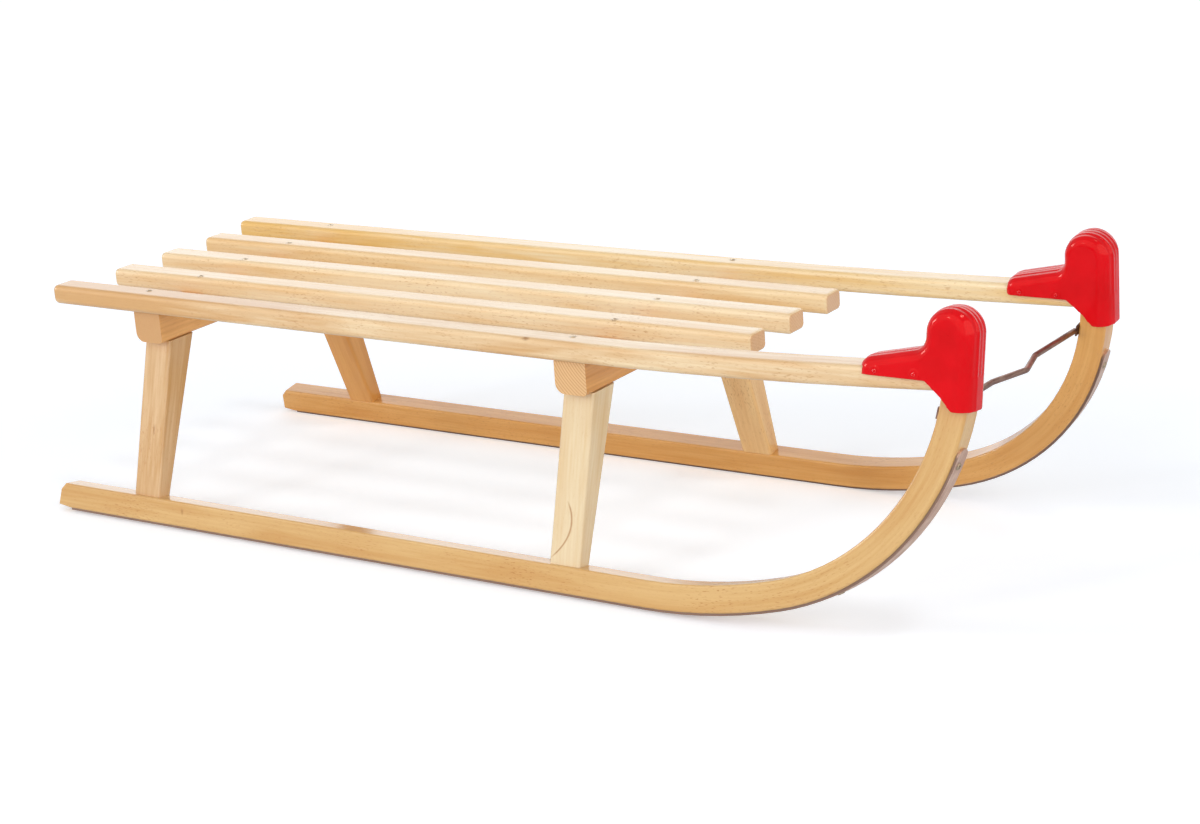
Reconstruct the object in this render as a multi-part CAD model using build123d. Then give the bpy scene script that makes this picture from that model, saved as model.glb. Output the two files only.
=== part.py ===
from build123d import *
import math
import os

# Davos sled: a beech seat of five slats on two crossbars and four splayed legs,
# two bent runners shod with steel, plastic caps on the horns and a steel pull bar.
# Millimetres. While it is built, x runs forward from the rear end of the outer slats,
# y to the left and z up from the ground. At the end the length is centred on x = 0.

# Seat slats
slat_width = 25.0
slat_thickness = 17.0
slat_top = 204.0
inner_slat_pitch = 62.0
outer_slat_y = 127.5
inner_slat_rear_x = 13.0
inner_slat_length = 668.0
slat_rear_round = 5.0
slat_front_round = 5.0
slat_edge_round = 4.6
slat_end_round = 2.4

# Crossbars under the slats
crossbar_rear_x = 105.5
crossbar_spacing = 445.5
crossbar_width = 29.5
crossbar_height = 28.0
crossbar_length = 267.0
crossbar_rear_round = 8.5
crossbar_front_round = 4.0
crossbar_edge_round = 2.0

# Legs, square to the crossbar at the top and to the runner at the foot
leg_width = 29.0
leg_top_inset = 10.0
leg_top_depth = 31.5
leg_foot_depth = 15.5
leg_foot_inset = 0.5
leg_edge_round = 2.6
top_tenon_diameter = 18.0
top_tenon_length = 20.0
foot_tenon_diameter = 11.0
foot_tenon_length = 13.0
joint_clearance = 0.15

# Runners, bent from one bar in a plane that leans inwards
runner_width = 20.2
runner_height = 22.0
runner_y = 159.5
runner_lean = 10.25
runner_rear_x = 2.0
runner_end_chamfer = 5.5
runner_end_relief = 1.8
runner_edge_round = 2.0
bend_start_x = 627.5
first_bend_radius = 440.0
first_bend_angle = 15.8
second_bend_radius = 203.0
horn_angle = 83.5
horn_straight = 8.0

# Steel strips under the runners
strip_width = 15.0
strip_thickness = 2.0
strip_rear_gap = 14.0
strip_end_angle = 73.5

# Caps over the horns and the front ends of the outer slats. Lengths run from the neck,
# where the head rises from the skirt, and heights from the top of the slat under it.
cap_width = 31.4
cap_inset = 1.2
cap_lean = 5.8
cap_lap = 11.2
cap_skirt_length = 51.5
cap_skirt_drop = 7.0
cap_skirt_rise = 4.8
cap_skirt_slope = 12.2
cap_head_length = 38.9
cap_head_slope = 2.2
cap_head_straight = 4.3
cap_dome_flat = 1.0
cap_depth = 27.6
cap_cheek_start = 1.9
cap_cheek_length = 23.9
cap_rear_round = 10.5
cap_neck_round = 10.5
cap_side_round = 8.0
cap_rib_width = 11.0
cap_rib_height = 0.6
cap_clearance = 0.25
lower_edge_margin = 0.01

# Pull bar between the horns: a rod with flattened ends and a forward notch for the rope
bar_diameter = 4.6
bar_level = 175.7
bar_notch_half_width = 39.4
bar_notch_depth = 10.3
bar_bend_radius = 7.0
bar_tab_inset = 1.5
bar_tab_overhang = 3.0
bar_tab_height = 9.0
bar_tab_thickness = 1.2
bar_seat_gap = 0.1

# What differs from side to side: the slant of the runner's rear end in degrees, the radius
# to which the outer slat springs up, how far back and down its cap was pressed on, and how
# much higher than bar_level the pull bar is screwed to its horn
sides = {
    "right": {"end_slant": 10.0, "slat_bend": 4880.0, "cap_back": 0.0, "cap_down": 2.9, "bar_lift": 3.5},
    "left": {"end_slant": 4.5, "slat_bend": 9300.0, "cap_back": 0.8, "cap_down": 1.3, "bar_lift": 0.0},
}

lean_sin = math.sin(math.radians(runner_lean))
lean_cos = math.cos(math.radians(runner_lean))
runner_base_z = strip_width / 2 * lean_sin + strip_thickness * lean_cos
slat_bottom = slat_top - slat_thickness
crossbar_bottom = slat_bottom - crossbar_height
leg_top_outer_y = crossbar_length / 2 - leg_top_inset
crossbar_xs = {
    "rear": crossbar_rear_x,
    "front": crossbar_rear_x + crossbar_spacing,
}
outer_bend_x = crossbar_xs["front"]

# Everything on one side is made for the left and mirrored for the right.
# In the runner's plane, local x is forward, local y up along the lean, local z inwards.
runner_plane = Plane(
    origin=(0, runner_y, runner_base_z),
    x_dir=(1, 0, 0),
    z_dir=(0, -lean_cos, -lean_sin),
)


def bend_centres():
    turn = math.radians(first_bend_angle)
    first = Vector(bend_start_x, first_bend_radius)
    step = first_bend_radius - second_bend_radius
    second = first + Vector(math.sin(turn), -math.cos(turn)) * step
    return first, second


def bend_point(height, angle, along):
    # A point of the bent bar: its height in the bar, the bend's angle and a run past it
    second = bend_centres()[1]
    turn = math.radians(angle)
    reach = second_bend_radius - height
    out = Vector(math.sin(turn), -math.cos(turn)) * reach
    return second + out + Vector(math.cos(turn), math.sin(turn)) * along


def bent_edges(height, end_angle):
    first, second = bend_centres()
    return [
        CenterArc(first, first_bend_radius - height, -90, first_bend_angle),
        CenterArc(second, second_bend_radius - height, first_bend_angle - 90, end_angle - first_bend_angle),
    ]


def bent_band(low, high, rear_points, end_angle, straight):
    # A closed outline between two heights of the bar, from rear_points to the front end
    tip_low = bend_point(low, end_angle, straight)
    tip_high = bend_point(high, end_angle, straight)
    edges = bent_edges(low, end_angle) + bent_edges(high, end_angle)
    if straight > 0:
        edges.append(Line(bend_point(low, end_angle, 0), tip_low))
        edges.append(Line(bend_point(high, end_angle, 0), tip_high))
    edges.append(Line(tip_low, tip_high))
    rear = [(bend_start_x, low)] + rear_points + [(bend_start_x, high)]
    edges.append(Polyline(*rear))
    return make_face(edges)


def runner_blank(grow, rear_points):
    outline = bent_band(-grow, runner_height + grow, rear_points, horn_angle, horn_straight)
    return extrude(runner_plane * outline, amount=runner_width / 2 + grow, both=True)


def long_edges(solid, direction):
    # The edges of the two flat faces that look along a direction, both ways
    faces = [f for f in solid.faces() if abs(f.normal_at().dot(direction)) > 0.999]
    faces = sorted(faces, key=lambda f: f.area)[-2:]
    return [e for f in faces for e in f.edges()]


def foot_place():
    # The middle of a leg's foot on the runner's upper face, in the runner's plane
    return leg_foot_inset + leg_foot_depth / 2 - runner_width / 2


def foot_point(x, outward, height):
    return runner_plane.from_local_coords((x, height, -outward))


def foot_tenon(x, grow):
    seat = foot_point(x, foot_place(), runner_height)
    axis = runner_plane.y_dir
    shank = Cylinder(
        foot_tenon_diameter / 2 + grow,
        foot_tenon_length + grow,
        align=(Align.CENTER, Align.CENTER, Align.MAX),
    )
    return Plane(origin=seat, z_dir=axis) * shank


def top_tenon(x, side, grow):
    middle = leg_top_outer_y - leg_top_depth / 2
    shank = Cylinder(
        top_tenon_diameter / 2 + grow,
        top_tenon_length + grow,
        align=(Align.CENTER, Align.CENTER, Align.MIN),
    )
    return Pos(x, side * middle, crossbar_bottom) * shank


def make_runner(end_slant):
    shoulder = runner_height - runner_end_chamfer
    top_rear_x = runner_rear_x + shoulder * math.tan(math.radians(end_slant))
    rear_points = [
        (runner_rear_x + strip_rear_gap, 0),
        (runner_rear_x, runner_end_relief),
        (top_rear_x, shoulder),
        (top_rear_x + runner_end_chamfer, runner_height),
    ]
    runner = runner_blank(0, rear_points)
    runner = fillet(long_edges(runner, runner_plane.z_dir), runner_edge_round)
    for x in crossbar_xs.values():
        runner -= foot_tenon(x, joint_clearance)
    return runner


def make_strip():
    start_x = runner_rear_x + strip_rear_gap
    rear_points = [(start_x, -strip_thickness), (start_x, 0)]
    outline = bent_band(-strip_thickness, 0, rear_points, strip_end_angle, 0)
    strip = extrude(runner_plane * outline, amount=strip_width / 2, both=True)
    front_end = bend_point(-strip_thickness / 2, strip_end_angle, 0)
    corner_edges = [
        e
        for e in strip.edges()
        if e.length < strip_thickness * 1.01
        and (runner_plane.to_local_coords(e.center()) - front_end).length < strip_width
    ]
    return fillet(corner_edges, strip_width * 0.45)


def make_leg(x):
    inner = foot_place() - leg_foot_depth / 2
    outer = foot_place() + leg_foot_depth / 2
    foot_inner = foot_point(x, inner, runner_height)
    foot_outer = foot_point(x, outer, runner_height)
    outline = Polyline(
        (leg_top_outer_y, crossbar_bottom),
        (leg_top_outer_y - leg_top_depth, crossbar_bottom),
        (foot_inner.Y, foot_inner.Z),
        (foot_outer.Y, foot_outer.Z),
        close=True,
    )
    leg = extrude(Plane.YZ.offset(x) * make_face(outline), amount=leg_width / 2, both=True)
    upright = [e for e in leg.edges() if abs(e.tangent_at(0.5).Z) > 0.5]
    leg = fillet(upright, leg_edge_round)
    return leg + top_tenon(x, 1, 0) + foot_tenon(x, 0)


def make_crossbar(x):
    # The lower edges are well rounded, the rear one most
    section = Rectangle(crossbar_width, crossbar_height)
    section = fillet(section.vertices().sort_by(Axis.Y)[2:], crossbar_edge_round)
    section = fillet(max(section.vertices(), key=lambda v: v.X - v.Y), crossbar_front_round)
    section = fillet(min(section.vertices(), key=lambda v: v.X + v.Y), crossbar_rear_round)
    bar = extrude(Plane.XZ * section, amount=crossbar_length / 2, both=True)
    bar = Pos(x, 0, slat_bottom - crossbar_height / 2) * bar
    for side in (-1, 1):
        bar -= top_tenon(x, side, joint_clearance)
    return bar


def make_inner_slat(y):
    # Well rounded at the rear, sawn square at the front with its edges eased
    outline = Pos(inner_slat_length / 2, 0) * Rectangle(inner_slat_length, slat_thickness)
    outline = fillet(outline.vertices().sort_by(Axis.X)[:2], slat_rear_round)
    slat = extrude(Plane.XZ * outline, amount=slat_width / 2, both=True)
    edges = sorted(long_edges(slat, Vector(0, 1, 0)), key=lambda e: e.center().X)
    slat = fillet(edges[:-2], slat_edge_round)
    slat = fillet(slat.faces().sort_by(Axis.X)[-1].edges(), slat_end_round)
    return Pos(inner_slat_rear_x, y, slat_top - slat_thickness / 2) * slat


# Where the rear face of the horn ends its bend and runs on straight
horn_hollow_x = bend_point(runner_height, horn_angle, 0).X


def horn_rear_x(y, z):
    # Where the rear face of the straight part of the horn stands at a place of the slat's end
    turn = math.radians(horn_angle)
    spot = bend_point(runner_height, horn_angle, horn_straight / 2)
    middle = runner_plane.from_local_coords((spot.X, spot.Y, 0))
    normal = runner_plane.x_dir * math.sin(turn) - runner_plane.y_dir * math.cos(turn)
    return middle.X - (normal.Y * (y - middle.Y) + normal.Z * (z - middle.Z)) / normal.X


def outer_slat_rise(x, radius):
    return radius - math.sqrt(radius**2 - (x - outer_bend_x) ** 2)


def outer_slat_outline(grow, front_x, radius):
    # The slat's side view, springing up in a long bend from the front crossbar
    centre = (outer_bend_x, slat_bottom + radius)
    turn = math.degrees(math.asin((front_x - outer_bend_x) / radius))
    low_arc = CenterArc(centre, radius + grow, -90, turn)
    high_arc = CenterArc(centre, radius - slat_thickness - grow, -90, turn)
    rear = Polyline(
        low_arc @ 0,
        (-grow, slat_bottom - grow),
        (-grow, slat_top + grow),
        high_arc @ 0,
    )
    return make_face([low_arc, high_arc, rear, Line(low_arc @ 1, high_arc @ 1)])


def outer_slat_front_x(radius):
    low = slat_bottom + outer_slat_rise(horn_hollow_x, radius)
    outer_y = outer_slat_y + slat_width / 2
    return horn_rear_x(outer_y, low) - cap_clearance


def make_outer_slat(radius):
    outline = outer_slat_outline(0, outer_slat_front_x(radius), radius)
    outline = fillet(outline.vertices().sort_by(Axis.X)[:2], slat_rear_round)
    outline = fillet(outline.vertices().sort_by(Axis.X)[-2:], slat_front_round)
    slat = extrude(Plane.XZ * outline, amount=slat_width / 2, both=True)
    slat = fillet(long_edges(slat, Vector(0, 1, 0)), slat_edge_round)
    return Pos(0, outer_slat_y, 0) * slat


def cap_side_view(grow):
    # The cap seen from the side, its upper and end faces moved outwards by grow
    slope = math.radians(cap_skirt_slope)
    lean = math.radians(cap_head_slope)
    lift = grow / math.cos(slope)
    push = grow / math.cos(lean)
    dome_round = (cap_head_length - cap_dome_flat) * math.cos(lean) / 2
    neck_run = cap_neck_round * math.tan((math.pi / 2 - lean - slope) / 2)
    dome_run = dome_round * math.tan((math.pi / 2 - lean) / 2)
    neck_z = cap_skirt_rise + cap_skirt_length * math.tan(slope)
    top_z = neck_z + (neck_run + cap_head_straight + dome_run) * math.cos(lean) + grow
    rear_x = -cap_skirt_length - grow
    rear_z = cap_skirt_rise + lift - grow * math.tan(slope)
    neck_x = (lift * math.tan(lean) - push) / (1 - math.tan(lean) * math.tan(slope))
    back_x = (top_z - neck_z) * math.tan(lean) - push
    brow_x = back_x + cap_head_length + 2 * push
    toe_x = brow_x - (top_z + cap_depth) * math.tan(lean)
    lower = [
        (rear_x, -cap_skirt_drop),
        (cap_cheek_start, -cap_skirt_drop),
        (cap_cheek_start + cap_cheek_length, -cap_depth),
        (toe_x, -cap_depth),
    ]
    corners = {
        (brow_x, top_z): dome_round + grow,
        (back_x, top_z): dome_round + grow,
        (neck_x, neck_z + lift + neck_x * math.tan(slope)): cap_neck_round - grow,
        (rear_x, rear_z): cap_rear_round + grow,
    }
    face = make_face(Polyline(*lower, *corners, close=True))
    for spot, radius in corners.items():
        corner = face.vertices().sort_by_distance((*spot, 0))[0]
        face = fillet(corner, radius)
    return face


def cap_body():
    body = extrude(Plane.XZ * cap_side_view(0), amount=cap_width / 2, both=True)
    lower_edge_z = lower_edge_margin - cap_skirt_drop
    rounded = [
        e
        for e in long_edges(body, Vector(0, 1, 0))
        if max(e.position_at(0).Z, e.position_at(1).Z) > lower_edge_z
    ]
    body = fillet(rounded, cap_side_round)
    rib = extrude(Plane.XZ * cap_side_view(cap_rib_height), amount=cap_rib_width / 2, both=True)
    return body + rib


def make_cap(radius, back, down):
    neck_x = horn_hollow_x - cap_lap - back
    seat_z = slat_top + outer_slat_rise(neck_x, radius) - down
    cap = Pos(neck_x, outer_slat_y - cap_inset, seat_z) * Rot(cap_lean, 0, 0) * cap_body()
    room_front_x = outer_slat_front_x(radius) + cap_clearance
    slat_room = extrude(
        Plane.XZ * outer_slat_outline(cap_clearance, room_front_x, radius),
        amount=slat_width / 2 + cap_clearance,
        both=True,
    )
    rear_points = [(runner_rear_x, -cap_clearance), (runner_rear_x, runner_height + cap_clearance)]
    horn_room = runner_blank(cap_clearance, rear_points)
    return cap - Pos(0, outer_slat_y, 0) * slat_room - horn_room


def bar_seat(level):
    # A place on the rear face of the left horn at a height over the ground
    reach = (level - runner_base_z) / lean_cos
    second = bend_centres()[1]
    hollow = second_bend_radius - runner_height
    turn = math.acos((second.Y - reach) / hollow)
    spot = bend_point(runner_height + bar_seat_gap, math.degrees(turn), 0)
    forward = runner_plane.x_dir * math.sin(turn) - runner_plane.y_dir * math.cos(turn)
    return Plane(
        origin=runner_plane.from_local_coords((spot.X, spot.Y, 0)),
        x_dir=runner_plane.z_dir,
        z_dir=forward,
    )


def make_pull_bar():
    # Tabs lie on the rear faces of the horns, and the rod runs from one to the other
    outer_end = bar_tab_inset - runner_width / 2
    inner_end = runner_width / 2 + bar_tab_overhang
    tabs = {}
    ends = {}
    for side, own in sides.items():
        seat = bar_seat(bar_level + own["bar_lift"])
        tab = seat * Pos(outer_end, 0, 0) * Box(
            inner_end - outer_end,
            bar_tab_height,
            bar_tab_thickness,
            align=(Align.MIN, Align.CENTER, Align.MAX),
        )
        tabs[side] = tab if side == "left" else mirror(tab, about=Plane.XZ)
        root = seat.from_local_coords((inner_end, 0, 0))
        ends[side] = Vector(root.X - bar_diameter / 2, root.Y + bar_tab_overhang / 2, root.Z)
    right_end = Vector(ends["right"].X, -ends["right"].Y, ends["right"].Z)
    reach = ends["left"] - right_end

    def rod_point(y, forward):
        share = (y - right_end.Y) / reach.Y
        return right_end + reach * share + Vector(forward, 0, 0)

    path = FilletPolyline(
        right_end,
        rod_point(-bar_notch_half_width, 0),
        rod_point(0, bar_notch_depth),
        rod_point(bar_notch_half_width, 0),
        ends["left"],
        radius=bar_bend_radius,
    )
    start = Plane(origin=path @ 0, z_dir=path % 0)
    rod = sweep(start * Circle(bar_diameter / 2), path=path)
    return rod + tabs["right"] + tabs["left"]


def build_parts():
    parts = {}
    strip = make_strip()
    legs = {place: make_leg(x) for place, x in crossbar_xs.items()}
    for side, own in sides.items():
        pieces = {
            "runner": make_runner(own["end_slant"]),
            "runner_strip": strip,
            "slat_outer": make_outer_slat(own["slat_bend"]),
            "cap": make_cap(own["slat_bend"], own["cap_back"], own["cap_down"]),
        }
        for place, leg in legs.items():
            pieces["leg_" + place] = leg
        for name, piece in pieces.items():
            parts[name + "_" + side] = piece if side == "left" else mirror(piece, about=Plane.XZ)
    for place, x in crossbar_xs.items():
        parts["crossbar_" + place] = make_crossbar(x)
    for name, y in (
        ("slat_inner_right", -inner_slat_pitch),
        ("slat_middle", 0),
        ("slat_inner_left", inner_slat_pitch),
    ):
        parts[name] = make_inner_slat(y)
    parts["pull_bar"] = make_pull_bar()
    return parts


parts = build_parts()
sled_length = max(piece.bounding_box().max.X for piece in parts.values())
os.makedirs("parts", exist_ok=True)
for name, piece in parts.items():
    export_step(Pos(-sled_length / 2, 0, 0) * piece, f"parts/{name}.step")
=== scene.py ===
import math
import bpy
import bmesh
from mathutils import Matrix, Vector


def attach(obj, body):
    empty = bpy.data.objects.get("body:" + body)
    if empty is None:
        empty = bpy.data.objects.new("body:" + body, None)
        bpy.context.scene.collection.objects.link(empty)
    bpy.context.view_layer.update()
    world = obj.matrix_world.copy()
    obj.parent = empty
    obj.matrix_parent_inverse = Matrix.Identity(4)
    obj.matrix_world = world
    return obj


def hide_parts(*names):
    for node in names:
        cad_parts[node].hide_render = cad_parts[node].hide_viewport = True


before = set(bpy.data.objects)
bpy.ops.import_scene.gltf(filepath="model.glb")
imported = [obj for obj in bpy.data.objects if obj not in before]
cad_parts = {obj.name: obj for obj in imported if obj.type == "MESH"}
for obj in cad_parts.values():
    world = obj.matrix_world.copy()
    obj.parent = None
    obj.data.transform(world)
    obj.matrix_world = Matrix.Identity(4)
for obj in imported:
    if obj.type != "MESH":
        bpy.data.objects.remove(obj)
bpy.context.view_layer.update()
scene = bpy.context.scene
scene.view_settings.view_transform = "Standard"
print("frame:", len(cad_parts), "solids")

mm = 0.001


def linear(hexColour):
    channels = [int(hexColour[i:i + 2], 16) / 255 for i in (1, 3, 5)]
    return tuple(c / 12.92 if c <= 0.04045 else ((c + 0.055) / 1.055) ** 2.4 for c in channels) + (1.0,)


def addNode(tree, kind, inputs=None, **settings):
    # inputs: socket name or index -> fixed value, a socket, or a node whose first output is meant
    node = tree.nodes.new(kind)
    for name, value in settings.items():
        setattr(node, name, value)
    for key, value in (inputs or {}).items():
        if isinstance(value, bpy.types.Node):
            value = value.outputs[0]
        if isinstance(value, bpy.types.NodeSocket):
            tree.links.new(value, node.inputs[key])
        else:
            node.inputs[key].default_value = value
    return node


def newMaterial(name):
    material = bpy.data.materials.new(name)
    material.use_nodes = True
    material.node_tree.nodes.clear()
    return material, material.node_tree


def placeMesh(name, mesh, material):
    # a finished piece: at the origin, riding on the sled
    piece = bpy.data.objects.new(name, mesh)
    scene.collection.objects.link(piece)
    if not mesh.materials:
        mesh.materials.append(material)
    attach(piece, "root")
    return piece


# the runner's bar: where it lies, how it leans inwards, and the two arcs of its bend, in metres
runnerPath = {
    "rearX": -450.3 * mm,
    "y": 159.5 * mm,
    "baseZ": 3.3 * mm,
    "lean": math.radians(10.25),
    "bendStart": 627.5 * mm,
    "firstRadius": 440 * mm,
    "firstAngle": math.radians(15.8),
    "secondRadius": 203 * mm,
    "height": 22 * mm,
}


def bendCentre():
    p = runnerPath
    step = p["firstRadius"] - p["secondRadius"]
    return Vector((p["bendStart"] + step * math.sin(p["firstAngle"]),
                   p["firstRadius"] - step * math.cos(p["firstAngle"])))


def runnerPoint(u, v, w, side):
    # u forward along the bar, v up the lean, w outwards; side is -1 for the near runner
    p = runnerPath
    s, c = math.sin(p["lean"]), math.cos(p["lean"])
    return Vector((u + p["rearX"], side * (p["y"] - v * s + w * c), p["baseZ"] + v * c + w * s))


def runnerAim(u, v, side):
    s, c = math.sin(runnerPath["lean"]), math.cos(runnerPath["lean"])
    return Vector((u, -side * v * s, v * c)).normalized()


def makeBentGrain():
    # grain that follows the steam-bent bar: straight, then a wide arc, then the tight one
    p = runnerPath
    tree = bpy.data.node_groups.new("bentGrain", "ShaderNodeTree")
    tree.interface.new_socket(name="Grain", in_out="OUTPUT", socket_type="NodeSocketVector")
    s, c = math.sin(p["lean"]), math.cos(p["lean"])
    centre = bendCentre()
    place = addNode(tree, "ShaderNodeSeparateXYZ", {0: addNode(tree, "ShaderNodeTexCoord").outputs["Object"]})
    mirrored = addNode(tree, "ShaderNodeMath", {0: place.outputs[1]}, operation="ABSOLUTE")
    dy = addNode(tree, "ShaderNodeMath", {0: mirrored, 1: p["y"]}, operation="SUBTRACT")
    dz = addNode(tree, "ShaderNodeMath", {0: place.outputs[2], 1: p["baseZ"]}, operation="SUBTRACT")
    sideways = addNode(tree, "ShaderNodeMath", {0: dy, 1: -s}, operation="MULTIPLY")
    v = addNode(tree, "ShaderNodeMath", {0: dz, 1: c, 2: sideways}, operation="MULTIPLY_ADD")
    lifted = addNode(tree, "ShaderNodeMath", {0: dz, 1: s}, operation="MULTIPLY")
    w = addNode(tree, "ShaderNodeMath", {0: dy, 1: c, 2: lifted}, operation="MULTIPLY_ADD")
    u = addNode(tree, "ShaderNodeMath", {0: place.outputs[0], 1: p["rearX"]}, operation="SUBTRACT")
    flow = addNode(tree, "ShaderNodeCombineXYZ", {0: u, 1: v, 2: w}).outputs[0]
    runStart = p["bendStart"] + (p["firstRadius"] - p["secondRadius"]) * p["firstAngle"]
    arcs = (
        (p["bendStart"], p["firstRadius"], p["firstRadius"], p["bendStart"], 0.0),
        (centre.x, centre.y, p["secondRadius"], runStart, p["firstAngle"]),
    )
    turn = None
    for centreU, centreV, radius, start, fromAngle in arcs:
        du = addNode(tree, "ShaderNodeMath", {0: u, 1: centreU}, operation="SUBTRACT")
        dv = addNode(tree, "ShaderNodeMath", {0: centreV, 1: v}, operation="SUBTRACT")
        angle = addNode(tree, "ShaderNodeMath", {0: du, 1: dv}, operation="ARCTAN2")
        spoke = addNode(tree, "ShaderNodeCombineXYZ", {0: du, 1: dv})
        reach = addNode(tree, "ShaderNodeVectorMath", {0: spoke}, operation="LENGTH")
        along = addNode(tree, "ShaderNodeMath", {0: angle, 1: radius, 2: start}, operation="MULTIPLY_ADD")
        height = addNode(tree, "ShaderNodeMath", {0: radius, 1: reach.outputs["Value"]}, operation="SUBTRACT")
        bent = addNode(tree, "ShaderNodeCombineXYZ", {0: along, 1: height, 2: w})
        turn = turn or angle  # both centres lie on one line, so the first angle tells where the second arc begins
        past = addNode(tree, "ShaderNodeMath", {0: turn, 1: fromAngle}, operation="GREATER_THAN")
        flow = addNode(tree, "ShaderNodeMix", {0: past, 4: flow, 5: bent}, data_type="VECTOR").outputs[1]
    addNode(tree, "NodeGroupOutput", {0: flow})
    return tree


bentGrain = makeBentGrain()
legSplay = math.radians(19)  # the grain of a leg leans as the leg does


def grainOf(tree, run, shift):
    # coordinates with x along the wood's grain, moved so that no two boards match
    turn = (0, 0, 0)
    if run == "bent":
        grain = addNode(tree, "ShaderNodeGroup", node_tree=bentGrain).outputs[0]
    else:
        grain = addNode(tree, "ShaderNodeTexCoord").outputs["Object"]
    if run == "across":
        turn = (0, 0, -math.pi / 2)
    if run == "leg":
        place = addNode(tree, "ShaderNodeSeparateXYZ", {0: grain})
        mirrored = addNode(tree, "ShaderNodeMath", {0: place.outputs[1]}, operation="ABSOLUTE")
        upright = {0: place.outputs[2], 1: mirrored, 2: place.outputs[0]}
        grain = addNode(tree, "ShaderNodeCombineXYZ", upright).outputs[0]
        turn = (0, 0, legSplay)
    return addNode(tree, "ShaderNodeMapping", {"Vector": grain, "Rotation": turn, "Location": shift}).outputs[0]


def stretch(length, width):
    # texture scale for marks of this length along the grain and this width across it
    return 1 / length, 1 / width, 1 / width


# beech, planed and clear-lacquered: pale pinkish tan in soft warm bands, short darker ray flecks,
# a wet sheen at low angles
beech = {
    "bandLength": 150 * mm,
    "bandWidth": 13 * mm,
    "streakLength": 70 * mm,
    "streakWidth": 2.4 * mm,
    "rearFade": (-0.45, -0.10),  # x in metres, from a warm rear end to the plain board
    "endGrain": (0.80, 0.95),  # how squarely a face looks along the grain, from a side face to a sawn end
    "pith": (0, 0.043, 0.061),  # in metres, for a board that doesn't give its own
    "ringSpacing": 2.4 * mm,
    "waveLength": 0.314,  # of a wave texture at scale 1, in metres
    "fleckLength": 4.2 * mm,  # real rays are 2 to 4 mm long and 0.5 mm wide; drawn a little larger so that they show
    "fleckWidth": 0.9 * mm,
    "fleckPatch": 60 * mm,
    "poreSize": 0.5 * mm,
    "fleckColour": "#B97A3E",
    "ringColour": "#C98F52",
    # wood under a lacquer of nearly its own index hardly shines by itself
    "wood": {"roughness": (0.40, 0.58), "ior": 1.5, "specular": 0.1},
    "lacquer": {"weight": 1.0, "roughness": 0.17, "ior": 1.52},
}
# run of the grain -> the direction in which end grain looks
grainAxis = {"long": (1, 0, 0), "across": (0, 1, 0), "leg": (0, 0, 1), "bent": (1, 0, 0)}


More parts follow.
